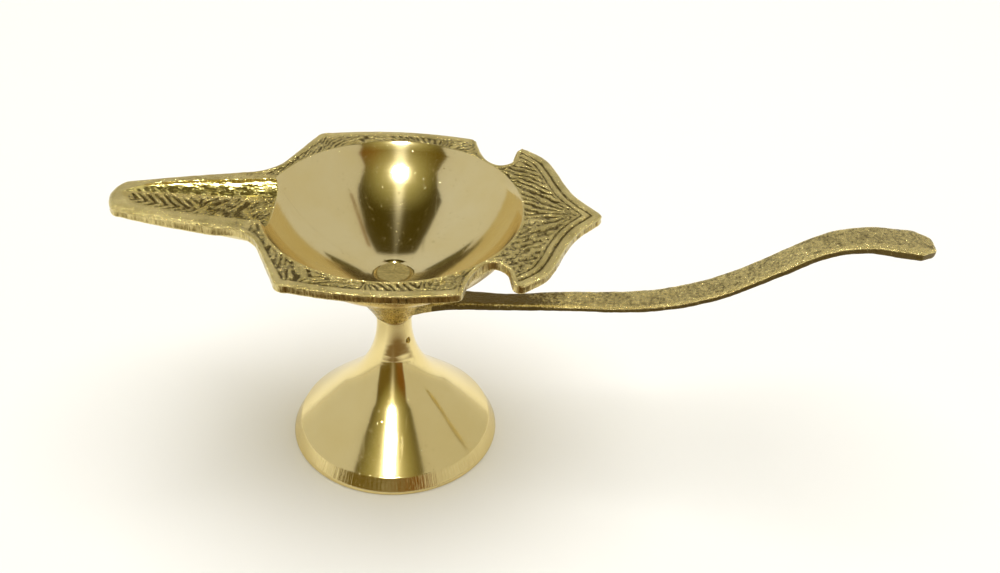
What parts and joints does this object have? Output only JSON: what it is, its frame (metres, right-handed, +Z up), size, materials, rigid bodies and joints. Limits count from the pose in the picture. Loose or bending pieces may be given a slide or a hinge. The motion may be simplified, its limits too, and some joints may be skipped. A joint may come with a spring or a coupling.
{
  "type": "diya oil lamp",
  "caption": "Hand-held brass oil lamp: round oil bowl with a patterned rim, wick spout and leaf thumb rest, an S-curved handle under it and a turned trumpet pedestal.",
  "frame": {"origin": "centre of the foot ring, on the pedestal's axis at the surface the lamp stands on", "axes": "+Z up along the pedestal's axis, +X along the handle, -X towards the wick spout"},
  "size_m": [0.2, 0.0738, 0.0705],
  "materials": {
    "bowl_brass": "cast brass, inside of the bowl turned and polished, rim and spout with cast relief, edges filed",
    "handle_brass": "sand-cast brass, grainy on the faces, linished along the edges",
    "pedestal_brass": "turned and polished brass with fine lathe lines",
    "stud_brass": "turned brass, head faced flush with the bowl"
  },
  "bodies": {
    "pedestal": {"pedestal": "pedestal_brass"},
    "stud": {"centre_stud": "stud_brass"},
    "head": {"lamp_bowl": "bowl_brass", "handle": "handle_brass"}
  },
  "joints": [
    {"name": "stud_rise", "type": "slide", "parent": "pedestal", "child": "stud", "axis": [0, 0, 1], "range_m": [0, 0.008]},
    {"name": "head_unscrew", "type": "hinge", "parent": "stud", "child": "head", "pos_m": [0, 0, 0.048], "axis": [0, 0, 1], "range_deg": [0, 3600]}
  ],
  "couplings": [
    {"joint": "stud_rise", "follows": "head_unscrew", "m_per_rad": 0.00012732}
  ]
}
